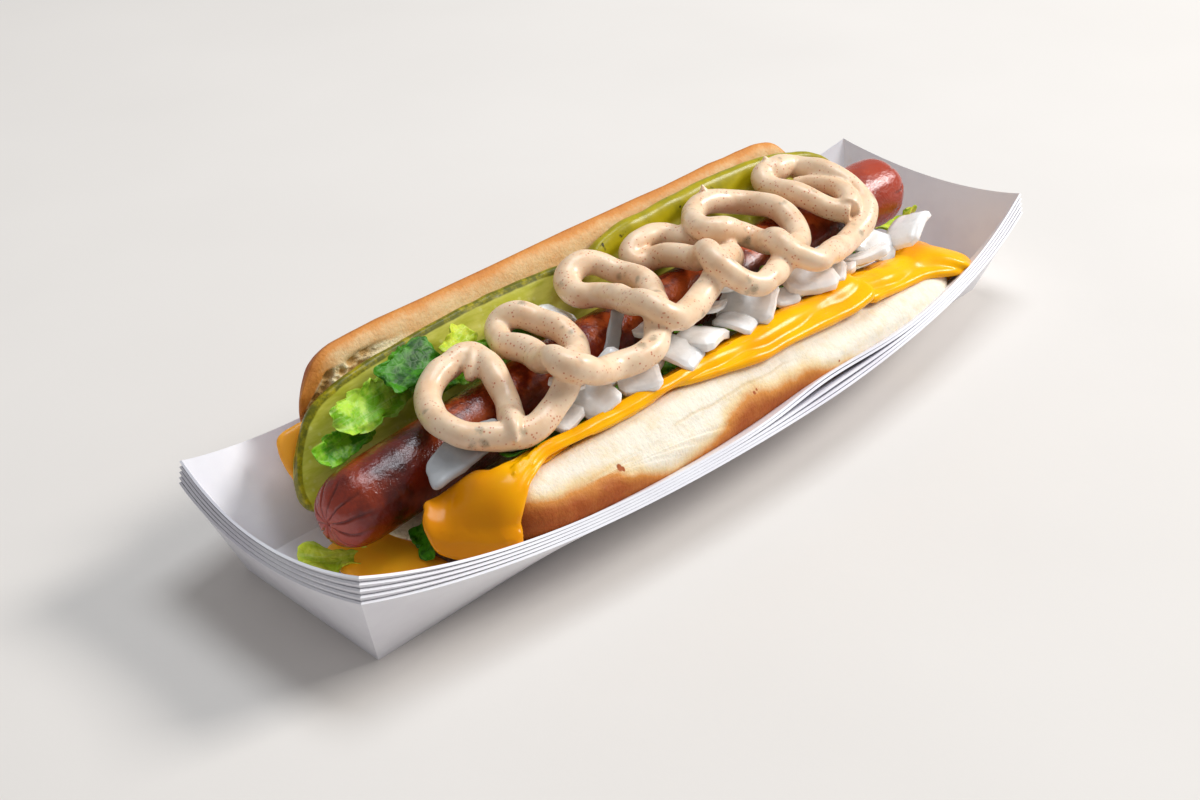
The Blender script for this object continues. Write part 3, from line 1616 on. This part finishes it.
@dataclass
class PipedSauce:
    """The piped sauce that lies in loops along the sausage."""

    refiner: Refiner
    radius_mm: float = 4.1
    drawn_mm: float = 3.8
    gap_mm: float = 0.3
    step_mm: float = 4.0
    tail: int = 11
    overlap: float = 0.74
    fine_mm: float = 0.9
    sides: int = 20
    voxel_mm: float = 0.55
    taper_mm: float = 17.0
    peak_radii_mm: tuple[float, float] = (3.2, 0.35)
    loops_mm: tuple[tuple[tuple[float, float], ...], ...] = (
        ((-83.5, -30.5), (-81, -27), (-69.5, -12), (-67.5, -6.5), (-64.5, 1.5), (-64, 8), (-69, 8),
         (-74.5, 8), (-80.5, 6), (-85.5, 1.5), (-90.5, -8.5), (-90.5, -15.5), (-88.5, -19.5), (-84.5, -23),
         (-81, -26), (-77, -28), (-71.5, -28), (-66, -27), (-61, -26)),
        ((-43, -11.5), (-40.5, -6), (-40, 1), (-41, 8), (-44, 12.5), (-47.5, 15.5), (-51, 11.5), (-54.5, 3.5),
         (-53.5, -5.5), (-63, -25.5), (-57.5, -30), (-45.5, -27.5), (-39.5, -29.5), (-33, -29.5),
         (-26.5, -26)),
        ((-8.5, -7.5), (-5.5, -1), (-4, 5.5), (-5.5, 10.5), (-7, 15.5), (-12, 18), (-18, 17.5), (-21.5, 12.5),
         (-22, 7), (-19, 3), (-22, -7.5), (-25.5, -19), (-25, -26), (-20.5, -28), (-10.5, -24.5), (-4, -22),
         (3.5, -20)),
        ((24, -9.5), (26.5, -3.5), (27.5, 4), (24, 9.5), (22.5, 16.5), (15, 18), (8, 17.5), (6.5, 13.5),
         (12.5, 12), (13.5, 5), (13, -4.5), (3, -21), (6.5, -25.5), (10, -28.5), (17, -29), (29.5, -23.5),
         (36, -21.5)),
        ((48, -16), (53.5, -10.5), (56, -5.5), (57, 1), (57, 10.5), (52.5, 16), (44.5, 18), (36, 16.5),
         (24, 4), (25.5, -2.5), (35.5, -4), (37, -10.5), (30.5, -23.5), (34, -28), (37.5, -31), (49, -27.5),
         (65.5, -21), (76, -18.5)),
        ((84, -14), (86.5, -9), (85.5, -3), (86, 7), (84, 17), (75, 18), (69.5, 17.5), (68.5, 11.5),
         (68, 0.5), (70.5, -8), (74.5, -15)),
    )
    peaks_mm: tuple[tuple[float, float, float, float, float], ...] = (
        (44.5, 18, -1.2, 1.6, 4.6), (75, 18, -0.6, 1.4, 3.6), (31, -23.5, 0.6, -0.6, 2.4))
    blobs_mm: tuple[tuple[tuple[float, float, float, float], ...], ...] = (
        ((74, -14.5, 46.5, 3.7), (78, -12, 47.5, 3.5), (80.5, -7, 48, 3.2), (81, -1, 48, 2.9),
         (80, 5, 47.5, 2.6), (77.5, 10, 46.5, 2.2)),
        ((71, 17.5, 48, 3.6), (76, 17, 49.5, 4.4), (82, 16.5, 49.5, 4.0), (86, 14, 48.5, 3.0)),
        ((-64.5, 7, 47, 2.4), (-67, 4, 46, 2.6), (-69.5, 2, 44.5, 2.5), (-71.5, 0.5, 43, 1.2)))

    def below(self) -> BVHTree:
        """Everything that the sauce lies on.

        Returns:
            A search tree of its faces, in millimetres.
        """
        vertices, faces = [], []
        for name, node in self.refiner.frame["nodes"].items():
            if name == "sauce":
                continue
            start = len(vertices)
            vertices += [node.matrix_world @ v.co / MM for v in node.data.vertices]
            faces += [tuple(start + i for i in f.vertices) for f in node.data.polygons]
        return BVHTree.FromPolygons(vertices, faces)

    def heights(self, spots: np.ndarray, below: BVHTree) -> np.ndarray:
        """Height of the rope's middle at each spot, later strands on top of earlier ones.

        Args:
            spots: Places along the rope, as X and Y in millimetres.
            below: What the rope lies on.

        Returns:
            One height in millimetres for each spot.
        """
        reach = self.radius_mm + self.gap_mm + 0.4
        heights = np.zeros(len(spots))
        # The rope rests on the highest thing under its width, as a ball of its radius would.
        for n, (x, y) in enumerate(spots):
            for ring in range(4):
                off = reach * ring / 3.2
                for k in range(1 if ring == 0 else 10):
                    turn = math.pi * k / 5
                    start = Vector((x + off * math.cos(turn), y + off * math.sin(turn), 120))
                    hit = below.ray_cast(start, Vector((0, 0, -1)))[0]
                    if hit is not None:
                        heights[n] = max(heights[n], hit.z + math.sqrt(max(0, reach * reach - off * off)))
        # The rope's first stretch is laid last, and a strand sinks a little into what it crosses.
        over = 2 * self.radius_mm * self.overlap
        laid = []
        for n in [*range(self.tail, len(spots)), *reversed(range(self.tail))]:
            for k in laid:
                apart = np.linalg.norm(spots[n] - spots[k])
                if abs(n - k) > 6 and apart < over:
                    heights[n] = max(heights[n], heights[k] + math.sqrt(over * over - apart * apart))
            laid.append(n)
        for _ in range(6):
            heights = np.maximum(heights, soften(heights, 1))
        # Where it still touches anything, it is lifted clear.
        for n, (x, y) in enumerate(spots):
            while below.find_nearest(Vector((x, y, heights[n])), reach)[0] is not None:
                heights[n] += 0.2
        return heights

    def path(self) -> np.ndarray:
        """Middle line of the rope in small even steps.

        Returns:
            Its points in millimetres, one row each.
        """
        control = np.array([point for loop in self.loops_mm for point in loop])
        spots = even_steps(spline(control, 4001), self.step_mm)
        coarse = np.column_stack([spots, self.heights(spots, self.below())])
        fine = even_steps(spline(coarse, len(coarse) * 8), self.fine_mm)
        return soften(fine, 10)

    def build(self, finish: bpy.types.Material) -> None:
        """Makes and dresses the sauce.

        Args:
            finish: The sauce material.
        """
        path = self.path()
        run = np.arange(len(path)) * self.fine_mm
        radii = self.drawn_mm * (1 + 0.1 * clouds(path * MM, 24, 4.0) + 0.03 * np.sin(run / 5.3))
        radii *= np.minimum(1, 0.1 + 0.9 * np.clip(run / self.taper_mm, 0, 1) ** 0.7)
        path[:, 2] -= self.radius_mm - radii.clip(self.drawn_mm * 0.8)
        parts = [tube("rope", path, radii, self.sides)]
        for x, y, lean_x, lean_y, rise in self.peaks_mm:
            near = path[np.argmin(np.linalg.norm(path[:, :2] - (x, y), axis=1))]
            steps = np.linspace(0, 1, 10)[:, None]
            line = near + steps * (lean_x, lean_y, self.radius_mm * 0.4 + rise)
            parts.append(tube("peak", line, np.linspace(*self.peak_radii_mm, 10), 14))
        for blob in self.blobs_mm:
            line = even_steps(spline(np.array([b[:3] for b in blob]), 60), 0.6)
            share, given = np.linspace(0, 1, len(line)), np.linspace(0, 1, len(blob))
            parts.append(tube("blob", line, np.interp(share, given, [b[3] for b in blob]), 16))
        piece = join("piped_sauce", parts)
        self.refiner.melt(piece, self.voxel_mm, 6)
        rough_up(piece, 8, 0.22, 2.0)
        dress(piece, finish, "sauce", "sauce")


@dataclass(frozen=True)
class Lamp:
    """One soft box: name, place and size in metres, power in watts and tint."""

    name: str
    place: Place
    size: tuple[float, float]
    power: float
    tint: Colour


@dataclass
class Studio:
    """Camera, floor and soft lights."""

    lens_mm: float = 50.0
    azimuth: float = -0.78226
    elevation: float = 0.54866
    roll: float = -0.03268
    scale: float = 0.1397 / 0.149
    target: Place = (-0.02938, -0.00443, 0.02)
    distance: float = 0.51122
    floor_size: float = 3.0
    floor_pale: Colour = linear(226, 220, 214)
    floor_warm: Colour = linear(218, 212, 206)
    lamps: tuple[Lamp, ...] = (
        Lamp("key", (1.9, -1.0, 1.6), (0.95, 0.7), 55.0, (1.0, 0.99, 0.97)),
        Lamp("above", (0.35, 0.1, 1.25), (0.7, 0.5), 8.5, (0.88, 0.94, 1.0)))
    sky: tuple[float, float, float, float] = (0.95, 0.97, 1.0, 1.0)
    sky_strength: float = 0.34

    def camera(self) -> None:
        """Places the camera where the photograph was taken from."""
        data = bpy.data.cameras.new("camera")
        data.lens = self.lens_mm
        data.sensor_width = 36.0
        data.clip_start, data.clip_end = 0.02, 20.0
        camera = new_object("camera", data)
        back = Vector((math.sin(self.azimuth) * math.cos(self.elevation),
                       -math.cos(self.azimuth) * math.cos(self.elevation), math.sin(self.elevation)))
        right = (-back).cross(Vector((0, 0, 1))).normalized()
        up = right.cross(-back)
        across = right * math.cos(self.roll) + up * math.sin(self.roll)
        above = up * math.cos(self.roll) - right * math.sin(self.roll)
        place = Vector(self.target) * self.scale + back * self.distance * self.scale
        turn = Matrix((across, above, back)).transposed()
        camera.matrix_world = Matrix.Translation(place) @ turn.to_4x4()
        bpy.context.scene.camera = camera

    def floor(self) -> None:
        """Lays a plain pale floor."""
        s = Shading("floor")
        colour = s.mix(s.noise(120, 3), self.floor_pale, self.floor_warm)
        finish = s.finish(colour, 0.7, s.bump(s.noise(2, 2), 0.05, 0.3))
        mesh = bpy.data.meshes.new("floor")
        shaped = bmesh.new()
        bmesh.ops.create_grid(shaped, x_segments=2, y_segments=2, size=self.floor_size)
        shaped.to_mesh(mesh)
        shaped.free()
        mesh.materials.append(finish)
        new_object("floor", mesh)

    def lights(self) -> None:
        """Hangs the soft boxes, which face the food, and sets the surroundings."""
        for lamp in self.lamps:
            data = bpy.data.lights.new(lamp.name, "AREA")
            data.shape = "RECTANGLE"
            data.size, data.size_y = lamp.size
            data.energy = lamp.power
            data.color = lamp.tint
            light = new_object(lamp.name, data)
            light.location = lamp.place
            light.rotation_mode = "QUATERNION"
            light.rotation_quaternion = (-Vector(lamp.place)).to_track_quat("-Z", "Y")
        world = bpy.data.worlds.new("surroundings")
        world.use_nodes = True
        sky = world.node_tree.nodes["Background"]
        sky.inputs["Color"].default_value = self.sky
        sky.inputs["Strength"].default_value = self.sky_strength
        bpy.context.scene.world = world

    def build(self) -> None:
        """Sets up everything round the dish."""
        bpy.context.scene.view_settings.view_transform = "Standard"
        self.camera()
        self.floor()
        self.lights()


def clear_scene() -> None:
    """Removes what the scene starts with."""
    for old in list(bpy.data.objects):
        bpy.data.objects.remove(old)


def main() -> None:
    """Builds the whole dish round the frame."""
    logging.basicConfig(level=logging.INFO, format="%(message)s")
    clear_scene()
    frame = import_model()
    Studio().build()
    refiner = Refiner(frame)
    TrayStack().build(PaperFinish().material())
    Bun(refiner).build(BunFinish().material())
    Sausage(refiner).build(SausageFinish().material())
    PickleSpears(refiner).build(PickleFinish().material())
    CheeseSlices(refiner).build(CheeseFinish().material())
    LettuceLeaves(refiner).build(frame)
    OnionPieces(refiner).build(frame, OnionFinish().material())
    PipedSauce(refiner).build(SauceFinish().material())


if __name__ == "__main__":
    main()
